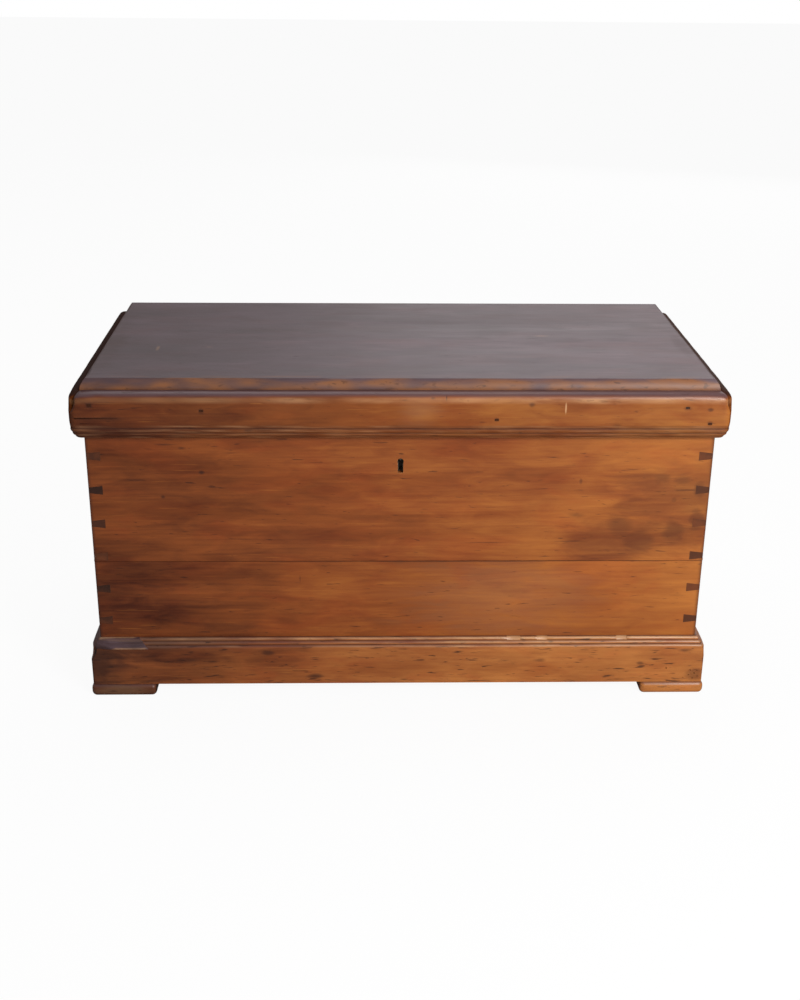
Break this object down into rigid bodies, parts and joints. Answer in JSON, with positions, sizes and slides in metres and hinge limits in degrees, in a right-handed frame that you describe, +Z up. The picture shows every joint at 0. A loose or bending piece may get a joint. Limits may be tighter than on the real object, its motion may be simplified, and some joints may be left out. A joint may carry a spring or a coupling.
{
  "type": "blanket chest",
  "caption": "Dovetailed pine blanket chest with a hinged box lid, reeded mouldings round lid and plinth, corner pad feet and a lock let into the front.",
  "frame": {"origin": "on the floor, under the middle of the chest's plan", "axes": "+X along the chest to the right as seen from the front, +Y from front to back, +Z up"},
  "size_m": [1.013, 0.491, 0.539],
  "materials": {
    "carcass_pine": "old waxed pine, warm brown",
    "lid_pine": "old waxed pine, greyed on top",
    "rim_pine": "old waxed pine, worn at the edges",
    "rail_pine": "bare old pine",
    "plinth_pine": "old waxed pine, dark and knocked",
    "foot_pine": "old waxed pine, worn",
    "bare_pine": "bare old pine",
    "old_iron": "dark iron, slightly rusted",
    "lock_steel": "tarnished steel"
  },
  "bodies": {
    "carcass": {"front_upper_board": "carcass_pine", "front_lower_board": "carcass_pine", "back_upper_board": "carcass_pine", "back_lower_board": "carcass_pine", "left_end_upper_board": "carcass_pine", "left_end_lower_board": "carcass_pine", "right_end_upper_board": "carcass_pine", "right_end_lower_board": "carcass_pine", "bottom_board_1": "bare_pine", "bottom_board_2": "bare_pine", "bottom_board_3": "bare_pine", "bottom_board_4": "bare_pine", "bottom_board_5": "bare_pine", "plinth_front": "plinth_pine", "plinth_left": "plinth_pine", "plinth_right": "plinth_pine", "plinth_repair_piece": "plinth_pine", "front_left_foot": "foot_pine", "front_right_foot": "foot_pine", "back_left_foot": "foot_pine", "back_right_foot": "foot_pine", "plinth_nails": "old_iron", "bottom_nails": "old_iron", "foot_nails": "old_iron", "hinge_left_lower_leaf": "old_iron", "hinge_right_lower_leaf": "old_iron", "hinge_left_pin": "old_iron", "hinge_right_pin": "old_iron", "hinge_lower_screws": "old_iron", "lock_plate": "lock_steel", "lock_cap": "lock_steel", "lock_drill_pin": "lock_steel", "lock_screws": "old_iron"},
    "lid": {"lid_top_front_board": "lid_pine", "lid_top_back_board": "lid_pine", "lid_front_rail": "rail_pine", "lid_back_rail": "rail_pine", "lid_left_rail": "rail_pine", "lid_right_rail": "rail_pine", "rim_front": "rim_pine", "rim_left": "rim_pine", "rim_right": "rim_pine", "rim_nails": "old_iron", "hinge_left_upper_leaf": "old_iron", "hinge_right_upper_leaf": "old_iron", "hinge_upper_screws": "old_iron", "link_plate": "lock_steel", "link_screws": "old_iron"},
    "lock_bolt_body": {"lock_bolt": "lock_steel", "lock_back_spring": "lock_steel"}
  },
  "joints": [
    {"name": "lid_hinge", "type": "hinge", "parent": "carcass", "child": "lid", "pos_m": [0, 0.2375, 0.4545], "axis": [-1, 0, 0], "range_deg": [0, 100]},
    {"name": "lock_bolt_slide", "type": "slide", "parent": "carcass", "child": "lock_bolt_body", "axis": [1, 0, 0], "range_m": [0, 0.008]}
  ]
}
